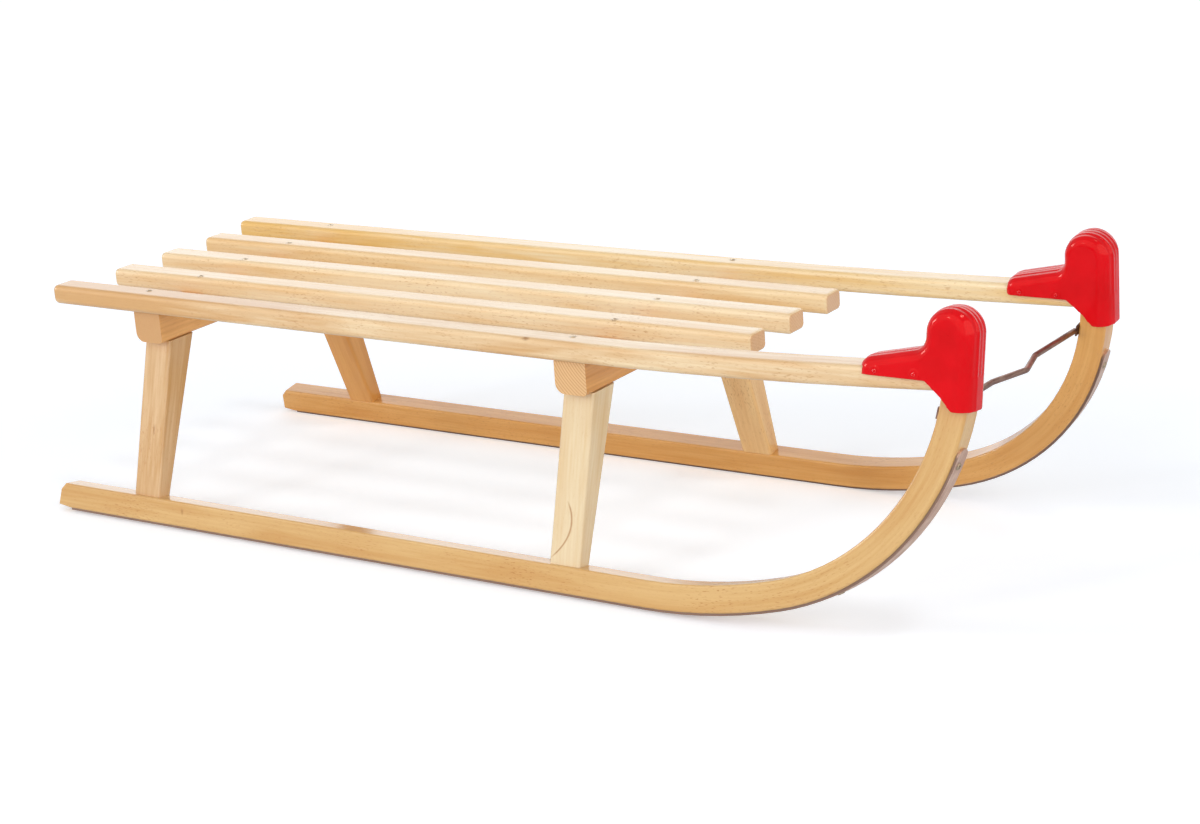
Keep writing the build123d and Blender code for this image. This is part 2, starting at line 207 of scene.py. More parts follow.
def makeBeech(name, board):
    look = beech
    material, tree = newMaterial(name)
    grain = grainOf(tree, board["run"], board["shift"])

    # broad soft bands, then fine streaks, both stretched along the grain
    bandScale = stretch(look["bandLength"], look["bandWidth"])
    bandAt = addNode(tree, "ShaderNodeMapping", {"Vector": grain, "Scale": bandScale})
    band = addNode(tree, "ShaderNodeTexNoise", {
        "Vector": bandAt, "Scale": 1.0, "Detail": 3.0, "Roughness": 0.55, "Distortion": 0.4})
    streakScale = stretch(look["streakLength"], look["streakWidth"])
    streakAt = addNode(tree, "ShaderNodeMapping", {"Vector": grain, "Scale": streakScale})
    streak = addNode(tree, "ShaderNodeTexNoise", {"Vector": streakAt, "Scale": 1.0, "Detail": 2.0, "Roughness": 0.5})
    bandPart = addNode(tree, "ShaderNodeMapRange", {"Value": band.outputs[0], "From Min": 0.30, "From Max": 0.70})
    streakPart = addNode(tree, "ShaderNodeMapRange", {
        "Value": streak.outputs[0], "From Min": 0.32, "From Max": 0.68,
        "To Min": -board["streaks"], "To Max": board["streaks"]})
    tone = addNode(tree, "ShaderNodeMath", {0: bandPart, 1: streakPart}, operation="ADD")
    if board.get("rear"):
        # the colour goes warmer and darker towards the rear end
        place = addNode(tree, "ShaderNodeSeparateXYZ", {0: addNode(tree, "ShaderNodeTexCoord").outputs["Object"]})
        warmX, plainX = look["rearFade"]
        rear = addNode(tree, "ShaderNodeMapRange", {
            "Value": place.outputs[0], "From Min": warmX, "From Max": plainX, "To Min": board["rear"], "To Max": 0.0})
        tone = addNode(tree, "ShaderNodeMath", {0: tone, 1: rear}, operation="ADD")
    tone = addNode(tree, "ShaderNodeClamp", {"Value": tone})
    light, warm = linear(board["light"]), linear(board["warm"])
    colour = addNode(tree, "ShaderNodeMix", {0: tone, 6: light, 7: warm}, data_type="RGBA").outputs[2]

    # sawn ends take more lacquer and go darker
    normal = addNode(tree, "ShaderNodeNewGeometry").outputs["Normal"]
    facing = addNode(tree, "ShaderNodeVectorMath", {0: normal, 1: grainAxis[board["run"]]}, operation="DOT_PRODUCT")
    facing = addNode(tree, "ShaderNodeMath", {0: facing.outputs["Value"]}, operation="ABSOLUTE")
    sideFace, sawnEnd = look["endGrain"]
    endMask = addNode(tree, "ShaderNodeMapRange", {
        "Value": facing, "From Min": sideFace, "From Max": sawnEnd, "To Max": board.get("ends", 0.0)})
    endColour = linear(board.get("endColour", board["warm"]))
    colour = addNode(tree, "ShaderNodeMix", {0: endMask, 6: colour, 7: endColour}, data_type="RGBA").outputs[2]

    # growth rings round a pith outside the board: long lines on the faces, arcs on the ends
    pith = addNode(tree, "ShaderNodeMapping", {"Vector": grain, "Location": board.get("pith", look["pith"])})
    rings = addNode(tree, "ShaderNodeTexWave", {
        "Vector": pith, "Scale": look["waveLength"] / look["ringSpacing"], "Distortion": 2.6, "Detail": 2.0,
        "Detail Scale": 0.14, "Detail Roughness": 0.5}, wave_type="RINGS", rings_direction="X")
    ringLevel = addNode(tree, "ShaderNodeMapRange", {
        "Value": facing, "From Min": sideFace, "From Max": sawnEnd,
        "To Min": board["rings"], "To Max": board.get("endRings", board["rings"])})
    ringMask = addNode(tree, "ShaderNodeMapRange", {
        "Value": rings.outputs[1], "From Min": 0.45, "From Max": 1.0, "To Max": ringLevel})
    ringColour = linear(look["ringColour"])
    colour = addNode(tree, "ShaderNodeMix", {0: ringMask, 6: colour, 7: ringColour}, data_type="RGBA").outputs[2]

    # ray flecks come in patches
    fleckScale = stretch(look["fleckLength"], look["fleckWidth"])
    fleckAt = addNode(tree, "ShaderNodeMapping", {"Vector": grain, "Scale": fleckScale})
    flecks = addNode(tree, "ShaderNodeTexNoise", {"Vector": fleckAt, "Scale": 1.0, "Detail": 1.0, "Roughness": 0.5})
    patch = addNode(tree, "ShaderNodeTexNoise", {"Vector": grain, "Scale": 1 / look["fleckPatch"], "Detail": 1.0})
    patchLevel = addNode(tree, "ShaderNodeMapRange", {
        "Value": patch.outputs[0], "From Min": 0.42, "From Max": 0.66,
        "To Min": 0.25 * board["flecks"], "To Max": board["flecks"]})
    fleckMask = addNode(tree, "ShaderNodeMapRange", {
        "Value": flecks.outputs[0], "From Min": 0.59, "From Max": 0.72, "To Max": patchLevel})
    fleckColour = linear(look["fleckColour"])
    colour = addNode(tree, "ShaderNodeMix", {0: fleckMask, 6: colour, 7: fleckColour}, data_type="RGBA").outputs[2]

    for mark in board.get("marks", ()):
        colour = mark(tree, colour)

    # fine pores, drawn out along the grain
    poreSize = look["poreSize"]
    poreScale = (0.12 / poreSize, 1 / poreSize, 1 / poreSize)
    poreAt = addNode(tree, "ShaderNodeMapping", {"Vector": grain, "Scale": poreScale})
    pores = addNode(tree, "ShaderNodeTexNoise", {"Vector": poreAt, "Scale": 1.0, "Detail": 2.0})
    relief = addNode(tree, "ShaderNodeBump", {"Height": pores.outputs[0], "Strength": 0.15, "Distance": 0.1 * mm})
    wood, lacquer = look["wood"], look["lacquer"]
    smooth, rough = wood["roughness"]
    gloss = addNode(tree, "ShaderNodeMapRange", {"Value": band.outputs[0], "To Min": smooth, "To Max": rough})
    shader = addNode(tree, "ShaderNodeBsdfPrincipled", {
        "Base Color": colour, "Roughness": gloss, "Normal": relief,
        "IOR": wood["ior"], "Specular IOR Level": wood["specular"],
        "Coat Weight": lacquer["weight"], "Coat Roughness": lacquer["roughness"], "Coat IOR": lacquer["ior"]})
    addNode(tree, "ShaderNodeOutputMaterial", {"Surface": shader})
    return material


# a dark thread: how far its ends fade, and how squarely a face has to look sideways to show it
lineLook = {"fade": 6 * mm, "facing": (0.5, 0.8)}


def lineMark(coefficients, fromZ, toZ, width, nearSide, dark):
    # a dark thread in the wood that wanders along x as it goes down z
    fade = lineLook["fade"]
    hidden, shown = (nearSide * level for level in lineLook["facing"])

    def draw(tree, colour):
        place = addNode(tree, "ShaderNodeSeparateXYZ", {0: addNode(tree, "ShaderNodeTexCoord").outputs["Object"]})
        z = place.outputs[2]
        a, b, c = coefficients
        bend = addNode(tree, "ShaderNodeMath", {0: z, 1: c, 2: b}, operation="MULTIPLY_ADD")
        lineX = addNode(tree, "ShaderNodeMath", {0: bend, 1: z, 2: a}, operation="MULTIPLY_ADD")
        off = addNode(tree, "ShaderNodeMath", {0: place.outputs[0], 1: lineX}, operation="SUBTRACT")
        off = addNode(tree, "ShaderNodeMath", {0: off}, operation="ABSOLUTE")
        mask = addNode(tree, "ShaderNodeMapRange", {"Value": off, "From Min": width, "From Max": 0.0})
        low = addNode(tree, "ShaderNodeMapRange", {"Value": z, "From Min": fromZ, "From Max": fromZ + fade})
        high = addNode(tree, "ShaderNodeMapRange", {"Value": z, "From Min": toZ, "From Max": toZ - fade})
        normal = addNode(tree, "ShaderNodeSeparateXYZ", {0: addNode(tree, "ShaderNodeNewGeometry").outputs["Normal"]})
        facing = addNode(tree, "ShaderNodeMapRange", {
            "Value": normal.outputs[1], "From Min": hidden, "From Max": shown})
        for part in (low, high, facing):
            mask = addNode(tree, "ShaderNodeMath", {0: mask, 1: part}, operation="MULTIPLY")
        return addNode(tree, "ShaderNodeMix", {0: mask, 6: colour, 7: linear(dark)}, data_type="RGBA").outputs[2]
    return draw


# knots, in shares of their size: where the eye and its halo end, and how ragged both are
knotLook = {"eye": 0.45, "halo": 1.35, "ragged": 0.7, "raggedScale": 1.6}


def knotMark(centre, size, dark, strength):
    # a pin knot: a dark eye with a softer halo
    look = knotLook

    def draw(tree, colour):
        place = addNode(tree, "ShaderNodeTexCoord").outputs["Object"]
        local = addNode(tree, "ShaderNodeMapping", {
            "Vector": place, "Location": centre, "Scale": size}, vector_type="TEXTURE")
        blur = addNode(tree, "ShaderNodeTexNoise", {"Vector": local, "Scale": look["raggedScale"], "Detail": 2.0})
        reach = addNode(tree, "ShaderNodeVectorMath", {0: local}, operation="LENGTH").outputs["Value"]
        reach = addNode(tree, "ShaderNodeMath", {
            0: blur.outputs[0], 1: look["ragged"], 2: reach}, operation="MULTIPLY_ADD")
        mask = addNode(tree, "ShaderNodeMapRange", {
            "Value": reach, "From Min": look["halo"], "From Max": look["eye"],
            "To Max": strength}, interpolation_type="SMOOTHSTEP")
        return addNode(tree, "ShaderNodeMix", {0: mask, 6: colour, 7: linear(dark)}, data_type="RGBA").outputs[2]
    return draw


# where each slat is screwed to the crossbars: x and y in millimetres, on the slats' top
slatTop = 204 * mm
slatHoles = {
    "slat_outer_right": ((-346.0, -125.0), (99.8, -124.0)),
    "slat_inner_right": ((-335.5, -69.0), (103.8, -69.5)),
    "slat_middle": ((-338.2, -5.5), (103.3, -4.0)),
    "slat_inner_left": ((-338.8, 58.0), (103.3, 58.5)),
    "slat_outer_left": ((-346.5, 129.0), (97.6, 128.5)),
}
screwStain = {"size": (4.6 * mm, 4.2 * mm, 3 * mm), "colour": "#7E5330", "strength": 0.9}


def screwStains(node):
    # the wood is bruised and brown round each screw
    look = screwStain
    return [knotMark((x * mm, y * mm, slatTop), look["size"], look["colour"], look["strength"])
            for x, y in slatHoles[node]]


# the board that each piece was cut from, with painted shade: pieces seen mostly in shade are darker and more orange
boardTonesAndShade = {
    "slat_outer_right": {
        "light": "#F3DCB4", "warm": "#D6A66C", "run": "long", "shift": (0.0, 0.0, 0.0),
        "streaks": 0.13, "rings": 0.07, "flecks": 0.50, "rear": 0.75,
        "marks": screwStains("slat_outer_right") + [
            knotMark((64 * mm, -138.5 * mm, 203.5 * mm), (5.5 * mm, 3.5 * mm, 2.6 * mm), "#9A6A3C", 0.85)]},
    "slat_inner_right": {
        "light": "#F5DFB9", "warm": "#EAC48F", "run": "long", "shift": (0.7, 0.13, 0.0),
        "streaks": 0.13, "rings": 0.07, "flecks": 0.60, "rear": 0.3,
        "ends": 0.9, "endColour": "#DBA872", "endRings": 0.25, "marks": screwStains("slat_inner_right")},
    "slat_middle": {
        "light": "#F6E1BC", "warm": "#EBC793", "run": "long", "shift": (1.9, 0.31, 0.1),
        "streaks": 0.12, "rings": 0.06, "flecks": 0.55, "rear": 0.2,
        "ends": 0.9, "endColour": "#DFAD79", "endRings": 0.25, "marks": screwStains("slat_middle")},
    "slat_inner_left": {
        "light": "#F3DAAE", "warm": "#E6BE85", "run": "long", "shift": (2.6, 0.47, 0.2),
        "streaks": 0.13, "rings": 0.07, "flecks": 0.45, "rear": 0.4,
        "ends": 0.9, "endColour": "#D8AC82", "endRings": 0.2, "marks": screwStains("slat_inner_left")},
    "slat_outer_left": {
        "light": "#F0D8AC", "warm": "#E5B868", "run": "long", "shift": (3.1, 0.62, 0.3),
        "streaks": 0.15, "rings": 0.07, "flecks": 0.45, "rear": 0.7, "marks": screwStains("slat_outer_left")},
    # painted shade: the crossbars' front faces lie in shade, so both crossbars are given a darker, more orange colour
    "crossbar_rear": {
        "light": "#EBB067", "warm": "#D8994E", "run": "across", "shift": (0.0, 0.0, 0.0),
        "streaks": 0.3, "rings": 0.2, "flecks": 0.35, "ends": 0.9, "endColour": "#CF9E69", "endRings": 0.05},
    "crossbar_front": {
        "light": "#E5A656", "warm": "#CE893C", "run": "across", "shift": (0.0, 0.0, 0.0),
        "pith": (0, 0.1464, -0.2115), "streaks": 0.3, "rings": 0.2, "flecks": 0.35,
        "ends": 0.9, "endColour": "#E6BC88", "endRings": 0.75},
    "leg_rear_right": {
        "light": "#D9B485", "warm": "#C99B62", "run": "leg", "shift": (0.0, 0.0, 0.0),
        "streaks": 0.35, "rings": 0.14, "flecks": 0.5,
        "marks": [knotMark((-341.5 * mm, -145.2 * mm, 82.5 * mm), (1.3 * mm, 4 * mm, 7 * mm), "#A8743F", 0.8)]},
    "leg_front_right": {
        "light": "#E6D2AC", "warm": "#DDC092", "run": "leg", "shift": (0.5, 0.1, 0.2),
        "streaks": 0.15, "rings": 0.06, "flecks": 0.16,
        "marks": [lineMark((0.0334, 2.403, -20.3), 29 * mm, 76 * mm, 1.3 * mm, -1, "#B07E4C")]},
    "leg_rear_left": {
        # painted shade: the far rear leg is seen in shade and is given a darker, more orange colour
        "light": "#E0A052", "warm": "#D08C40", "run": "leg", "shift": (1.1, 0.2, 0.3),
        "streaks": 0.18, "rings": 0.08, "flecks": 0.4},
    "leg_front_left": {
        "light": "#F2C98B", "warm": "#E4B071", "run": "leg", "shift": (1.7, 0.3, 0.1),
        "streaks": 0.15, "rings": 0.10, "flecks": 0.75},
    "runner_right": {
        "light": "#DBB375", "warm": "#CE9D5B", "run": "bent", "shift": (0.0, 0.0, 0.0),
        "streaks": 0.22, "rings": 0.10, "flecks": 0.75,
        "marks": [knotMark((-298.9 * mm, -167 * mm, 18.7 * mm), (2.2 * mm, 3 * mm, 4 * mm), "#B07C45", 0.7)]},
    "runner_left": {
        # painted shade: the far runner is seen partly in shade and is given a darker, more orange colour
        "light": "#E1A95F", "warm": "#D29347", "run": "bent", "shift": (0.9, 0.2, 0.1),
        "streaks": 0.25, "rings": 0.10, "flecks": 0.6},
}

for node, board in boardTonesAndShade.items():
    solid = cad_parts[node]
    solid.data.materials.clear()
    solid.data.materials.append(makeBeech("beech_" + node, board))
print("beech:", len(boardTonesAndShade), "boardTonesAndShade")


# polyethylene, injection moulded and glossy: clear red, highlights tinted a little by the red, faint flow marks
capPlastic = {
    "red": "#DE0A17",
    "deep": "#D20813",
    "flowSize": 22 * mm,
    "rippleSize": 7 * mm,
    "roughness": (0.07, 0.12),
    "ior": 1.51,
    "specular": 0.32,
    "specularTint": "#FFAE9E",
}


def makeCapPlastic():
    look = capPlastic
    material, tree = newMaterial("mouldedRedPolyethylene")
    place = addNode(tree, "ShaderNodeTexCoord").outputs["Object"]
    ripple = addNode(tree, "ShaderNodeTexNoise", {
        "Vector": place, "Scale": 1 / look["rippleSize"], "Detail": 2.0, "Roughness": 0.4})
    flow = addNode(tree, "ShaderNodeTexNoise", {"Vector": place, "Scale": 1 / look["flowSize"], "Detail": 3.0})
    tint = addNode(tree, "ShaderNodeMapRange", {"Value": flow.outputs[0], "From Min": 0.35, "From Max": 0.7})
    red, deep = linear(look["red"]), linear(look["deep"])
    colour = addNode(tree, "ShaderNodeMix", {0: tint, 6: red, 7: deep}, data_type="RGBA").outputs[2]
    smooth, rough = look["roughness"]
    gloss = addNode(tree, "ShaderNodeMapRange", {"Value": flow.outputs[0], "To Min": smooth, "To Max": rough})
    relief = addNode(tree, "ShaderNodeBump", {"Height": ripple.outputs[0], "Strength": 0.10, "Distance": 0.2 * mm})
    shader = addNode(tree, "ShaderNodeBsdfPrincipled", {
        "Base Color": colour, "Roughness": gloss, "Normal": relief, "IOR": look["ior"],
        "Specular IOR Level": look["specular"], "Specular Tint": linear(look["specularTint"])})
    addNode(tree, "ShaderNodeOutputMaterial", {"Surface": shader})
    return material


redPlastic = makeCapPlastic()

# caps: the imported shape, with its edges moulded round, a fuller curve round the front, a swelling at each nail
# and shallow ribs over the top
capShape = {
    "voxel": 0.65 * mm,
    "soften": 5,  # smoothing passes over the whole cap
    "lean": math.radians(5.8),
    "centreY": 126.3 * mm,
    "neck": {"cap_right": (410.4 * mm, 211.0 * mm), "cap_left": (409.6 * mm, 207.8 * mm)},  # x and z of the neck
    "halfWidth": 15.7 * mm,
    "packedRound": 8.0 * mm,
    "frontRound": 11.0 * mm,
    "frontFade": (24 * mm, 12 * mm),  # how far behind the front the fuller curve ends, and over what length it fades
    "dome": (20.6 * mm, 27.6 * mm, 19.0 * mm),  # centre ahead of and above the neck, and radius
    "frontX": 38.3 * mm,
    "frontSlope": 0.038,
    "nails": ((-37.5 * mm, -3.4 * mm), (-6.4 * mm, -3.0 * mm)),  # from the neck, on both cheeks of the skirt
    # the plastic swells at each nail: a boss over the middle of the head, a moat, and a lip that ends at reach;
    # core is the share of the reach that the boss takes, skin how deep below the cheek the plastic moves
    "swelling": {"reach": 4.6 * mm, "boss": 1.0 * mm, "lip": 0.5 * mm, "core": 0.6, "skin": 2 * mm},
    # ribs run over the cap between its cheeks: above floor, not where a face looks down, fading where it looks sideways
    "rib": {"every": 5.2 * mm, "depth": 0.35 * mm, "floor": -2 * mm, "down": -0.2, "sideways": 0.8, "fade": 0.4},
}


def capPlace(node, local):
    # from cap coordinates (ahead of the neck, outwards, up) to the sled
    side = -1 if node.endswith("right") else 1
    s, c = math.sin(capShape["lean"]), math.cos(capShape["lean"])
    neckX, neckZ = capShape["neck"][node]
    return Vector((neckX + local[0],
                   side * (capShape["centreY"] + local[1] * c - local[2] * s),
                   neckZ + local[1] * s + local[2] * c))


def capLocal(node, spot):
    side = -1 if node.endswith("right") else 1
    s, c = math.sin(capShape["lean"]), math.cos(capShape["lean"])
    neckX, neckZ = capShape["neck"][node]
    y, z = side * spot[1] - capShape["centreY"], spot[2] - neckZ
    return Vector((spot[0] - neckX, y * c + z * s, z * c - y * s))


def roundedCorner(radius, across):
    # how far a corner of this radius has fallen back at a distance from the middle
    past = min(max(across - (capShape["halfWidth"] - radius), 0.0), radius)
    return radius - math.sqrt(max(radius ** 2 - past ** 2, 0.0))


def makeCap(node):
    shape = capShape
    work = bmesh.new()
    work.from_mesh(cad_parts[node].data)
    bmesh.ops.remove_doubles(work, verts=work.verts, dist=1e-6)
    mesh = bpy.data.meshes.new(node + "Blank")
    work.to_mesh(mesh)
    work.free()
    blank = bpy.data.objects.new(node + "Blank", mesh)
    scene.collection.objects.link(blank)
    even = blank.modifiers.new("even", "REMESH")
    even.mode = "VOXEL"
    even.voxel_size = shape["voxel"]
    soften = blank.modifiers.new("soften", "SMOOTH")
    soften.iterations = shape["soften"]
    bpy.context.view_layer.update()
    cap = bpy.data.meshes.new_from_object(blank.evaluated_get(bpy.context.evaluated_depsgraph_get()))
    bpy.data.objects.remove(blank)
    cap.name = node + "Moulded"
    domeX, domeZ, domeR = shape["dome"]
    fadeEnd, fadeLength = shape["frontFade"]
    swelling, rib = shape["swelling"], shape["rib"]
    for vertex in cap.vertices:
        p = capLocal(node, vertex.co)
        across = abs(p.y)
        # the front is rounded more fully, less towards the top of the dome
        if p.z > domeZ:
            spoke = Vector((p.x - domeX, 0, p.z - domeZ))
            depth = domeR - spoke.length
            inward = -spoke.normalized()
            share = max(-inward.x, 0.0)
        else:
            depth = shape["frontX"] + shape["frontSlope"] * p.z - p.x
            inward = Vector((-1, 0, 0))
            share = 1.0
        fade = min(max((fadeEnd - depth) / fadeLength, 0.0), 1.0)
        extra = roundedCorner(shape["frontRound"], across) - roundedCorner(shape["packedRound"], across)
        p += inward * extra * share * fade * fade * (3 - 2 * fade)
        for nailX, nailZ in shape["nails"]:
            off = math.hypot(p.x - nailX, p.z - nailZ) / swelling["reach"]
            if off < 1 and across > shape["halfWidth"] - swelling["skin"]:
                lip = swelling["lip"] * math.sin(math.pi * off) ** 2
                boss = swelling["boss"] * max(1 - (off / swelling["core"]) ** 2, 0.0)
                p.y += math.copysign(abs(lip - boss), p.y)
        vertex.co = capPlace(node, p)
    cap.update()
    normals = [vertex.normal.copy() for vertex in cap.vertices]
    for vertex, normal in zip(cap.vertices, normals):
        p = capLocal(node, vertex.co)
        if normal.z > rib["down"] and p.z > rib["floor"]:
            share = min(max((rib["sideways"] - abs(normal.y)) / rib["fade"], 0.0), 1.0)
            vertex.co -= normal * share * rib["depth"] * (0.5 - 0.5 * math.cos(2 * math.pi * p.y / rib["every"]))
    for face in cap.polygons:
        face.use_smooth = True
    cap.materials.clear()
    piece = placeMesh(node + "Moulded", cap, redPlastic)
    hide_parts(node)


for node in capShape["neck"]:
    makeCap(node)
print("caps moulded")


# mild steel, hot rolled: brownish grey, drawn streaks along its length, a little duller in blotches;
# screws and nails are plated and paler
steels = {
    "strip": {"bright": "#E6C3AC", "dull": "#C6A08B", "edgeAndShade": "#8E7466", "rough": (0.30, 0.46)},
    "bar": {"bright": "#9C7F72", "dull": "#6E4F45", "rough": (0.30, 0.46)},
    "screw": {"bright": "#CDBFA8", "dull": "#A08B70", "rough": (0.34, 0.52)},
    "nail": {"bright": "#F2EFEA", "dull": "#DAD5CD", "rough": (0.24, 0.38)},
}
# scale of the streaks along the bent strip or along y, and size of the blotches
steelStreaks = {"bent": stretch(60 * mm, 0.8 * mm), "across": (1 / (2 * mm), 1 / (18 * mm), 1 / (2 * mm))}
steelBlotch = 12 * mm


def makeSteel(name, look, run):
    material, tree = newMaterial(name)
    if run == "bent":
        grain = addNode(tree, "ShaderNodeGroup", node_tree=bentGrain).outputs[0]
    else:
        grain = addNode(tree, "ShaderNodeTexCoord").outputs["Object"]
    streakAt = addNode(tree, "ShaderNodeMapping", {"Vector": grain, "Scale": steelStreaks[run]})
    streaks = addNode(tree, "ShaderNodeTexNoise", {"Vector": streakAt, "Scale": 1.0, "Detail": 3.0})
    blotches = addNode(tree, "ShaderNodeTexNoise", {"Vector": grain, "Scale": 1 / steelBlotch, "Detail": 4.0})
    worn = addNode(tree, "ShaderNodeMath", {0: blotches.outputs[0], 1: 0.5}, operation="MULTIPLY")
    worn = addNode(tree, "ShaderNodeMath", {0: streaks.outputs[0], 1: 0.5, 2: worn}, operation="MULTIPLY_ADD")
    mask = addNode(tree, "ShaderNodeMapRange", {"Value": worn, "From Min": 0.38, "From Max": 0.62})
    bright, dull = linear(look["bright"]), linear(look["dull"])
    colour = addNode(tree, "ShaderNodeMix", {0: mask, 6: bright, 7: dull}, data_type="RGBA").outputs[2]
    if "edgeAndShade" in look:
        # side faces drawn dark: partly the sheared steel, partly painted shade on the edge and in the gap to the wood
        normal = addNode(tree, "ShaderNodeSeparateXYZ", {0: addNode(tree, "ShaderNodeNewGeometry").outputs["Normal"]})
        facing = addNode(tree, "ShaderNodeMath", {0: normal.outputs[1]}, operation="ABSOLUTE")
        facing = addNode(tree, "ShaderNodeMapRange", {"Value": facing, "From Min": 0.6, "From Max": 0.9})
        edgeAndShade = linear(look["edgeAndShade"])
        colour = addNode(tree, "ShaderNodeMix", {0: facing, 6: colour, 7: edgeAndShade}, data_type="RGBA").outputs[2]
    smooth, rough = look["rough"]
    gloss = addNode(tree, "ShaderNodeMapRange", {"Value": mask, "To Min": smooth, "To Max": rough})
    relief = addNode(tree, "ShaderNodeBump", {"Height": streaks.outputs[0], "Strength": 0.15, "Distance": 0.1 * mm})
    shader = addNode(tree, "ShaderNodeBsdfPrincipled", {
        "Base Color": colour, "Metallic": 1.0, "Roughness": gloss, "Normal": relief})
    addNode(tree, "ShaderNodeOutputMaterial", {"Surface": shader})
    return material


stripSteel = makeSteel("rolledSteelStrip", steels["strip"], "bent")
barSteel = makeSteel("brownedSteelRod", steels["bar"], "across")
screwSteel = makeSteel("zincPlatedScrew", steels["screw"], "across")
nailSteel = makeSteel("galvanisedNailSteel", steels["nail"], "across")
for node, material in (("runner_strip_left", stripSteel), ("runner_strip_right", stripSteel), ("pull_bar", barSteel)):
    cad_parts[node].data.materials.clear()
    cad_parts[node].data.materials.append(material)
print("plastic and steel done")


def makeScrewHead(name, look):
    # a countersunk head with a cross recess, standing on z = 0
    sides, taper = 32, 0.84
    radius, height, floor = look["head"] / 2, look["height"], look["height"] / 2
    far, near = look["recess"] / 2, look["slot"] / 2
    cross = [(far, near), (near, near), (near, far), (-near, far), (-near, near), (-far, near),
             (-far, -near), (-near, -near), (-near, -far), (near, -far), (near, -near), (far, -near)]
    ring = [(math.cos(2 * math.pi * i / sides), math.sin(2 * math.pi * i / sides)) for i in range(sides)]
    spots = [(x * radius, y * radius, 0) for x, y in ring]
    spots += [(x * radius * taper, y * radius * taper, height) for x, y in ring]
    spots += [(x, y, height) for x, y in cross] + [(x, y, floor) for x, y in cross]
    crown, rim, base = sides, 2 * sides, 2 * sides + len(cross)
    faces = [list(reversed(range(sides)))]
    faces += [(i, (i + 1) % sides, crown + (i + 1) % sides, crown + i) for i in range(sides)]
    # the flat top is laced up between the crown and the cross, in the order of their angles
    turns = [math.atan2(y, x) % (2 * math.pi) for x, y in cross]
    outer, inner = 0, 0
    while outer < sides or inner < len(cross):
        at, last = crown + outer % sides, rim + (inner - 1) % len(cross)
        if inner == len(cross) or (outer < sides and 2 * math.pi * (outer + 1) / sides < turns[inner]):
            faces.append((at, crown + (outer + 1) % sides, last))
            outer += 1
        else:
            faces.append((at, rim + inner, last))
            inner += 1
    faces += [(rim + (i - 1) % len(cross), rim + i, base + i, base + (i - 1) % len(cross)) for i in range(len(cross))]
    # the floor of the recess: four arms and the square between them
    arms = ((10, 11, 0, 1), (4, 1, 2, 3), (6, 7, 4, 5), (8, 9, 10, 7), (7, 10, 1, 4))
    faces += [[base + i for i in arm] for arm in arms]
    mesh = bpy.data.meshes.new(name)
    mesh.from_pydata(spots, [], faces)
    head = bpy.data.objects.new(name, mesh)
    scene.collection.objects.link(head)
    return head


screwSpin = 3.14  # the widest turn of a head, in radians


def makeScrewTree():
    # one head on each point, facing along the point's aim and turned by chance
    tree = bpy.data.node_groups.new("crossHeadScrews", "GeometryNodeTree")
    inputs = {"Points": "NodeSocketGeometry", "Head": "NodeSocketObject", "Seed": "NodeSocketInt",
              "Material": "NodeSocketMaterial"}
    for name, kind in inputs.items():
        tree.interface.new_socket(name=name, in_out="INPUT", socket_type=kind)
    tree.interface.new_socket(name="Screws", in_out="OUTPUT", socket_type="NodeSocketGeometry")
    given = addNode(tree, "NodeGroupInput").outputs
    head = addNode(tree, "GeometryNodeObjectInfo", {"Object": given["Head"]}).outputs["Geometry"]
    aim = addNode(tree, "GeometryNodeInputNamedAttribute", {"Name": "aim"}, data_type="FLOAT_VECTOR")
    turned = addNode(tree, "FunctionNodeAlignRotationToVector", {"Vector": aim}, axis="Z")
    placed = addNode(tree, "GeometryNodeInstanceOnPoints", {
        "Points": given["Points"], "Instance": head, "Rotation": turned})
    spin = addNode(tree, "FunctionNodeRandomValue", {2: 0.0, 3: screwSpin, "Seed": given["Seed"]}, data_type="FLOAT")
    about = addNode(tree, "ShaderNodeCombineXYZ", {2: spin.outputs[1]})
    spun = addNode(tree, "GeometryNodeRotateInstances", {"Instances": placed, "Rotation": about})
    real = addNode(tree, "GeometryNodeRealizeInstances", {0: spun})
    clad = addNode(tree, "GeometryNodeSetMaterial", {"Geometry": real, "Material": given["Material"]})
    addNode(tree, "NodeGroupOutput", {0: clad})
    return tree


screwTree = makeScrewTree()


def makeScrews(name, places, look, material):
    # places: (position, direction the head faces)
    points = bpy.data.meshes.new(name + "Points")
    points.from_pydata([p for p, _ in places], [], [])
    aim = points.attributes.new("aim", "FLOAT_VECTOR", "POINT")
    for entry, (_, direction) in zip(aim.data, places):
        entry.vector = direction
    maker = bpy.data.objects.new(name + "Maker", points)
    scene.collection.objects.link(maker)
    modifier = maker.modifiers.new("screws", "NODES")
    modifier.node_group = screwTree
    head = makeScrewHead(name + "Head", look)
    values = {"Head": head, "Seed": look["seed"], "Material": material}
    for item in screwTree.interface.items_tree:
        if item.in_out == "INPUT" and item.name in values:
            modifier[item.identifier] = values[item.name]
    bpy.context.view_layer.update()
    made = bpy.data.meshes.new_from_object(maker.evaluated_get(bpy.context.evaluated_depsgraph_get()))
    bpy.data.objects.remove(maker)
    bpy.data.objects.remove(head)
    made.name = name
    placeMesh(name, made, material)


# slat screws: their heads stand half a millimetre above the slats
slatScrews = {"head": 4.6 * mm, "height": 0.7 * mm, "recess": 2.6 * mm, "slot": 0.7 * mm, "seed": 3, "sunk": 0.2 * mm}
places = [(Vector((x * mm, y * mm, slatTop - slatScrews["sunk"])), Vector((0, 0, 1)))
          for pair in slatHoles.values() for x, y in pair]
makeScrews("slatScrews", places, slatScrews, screwSteel)

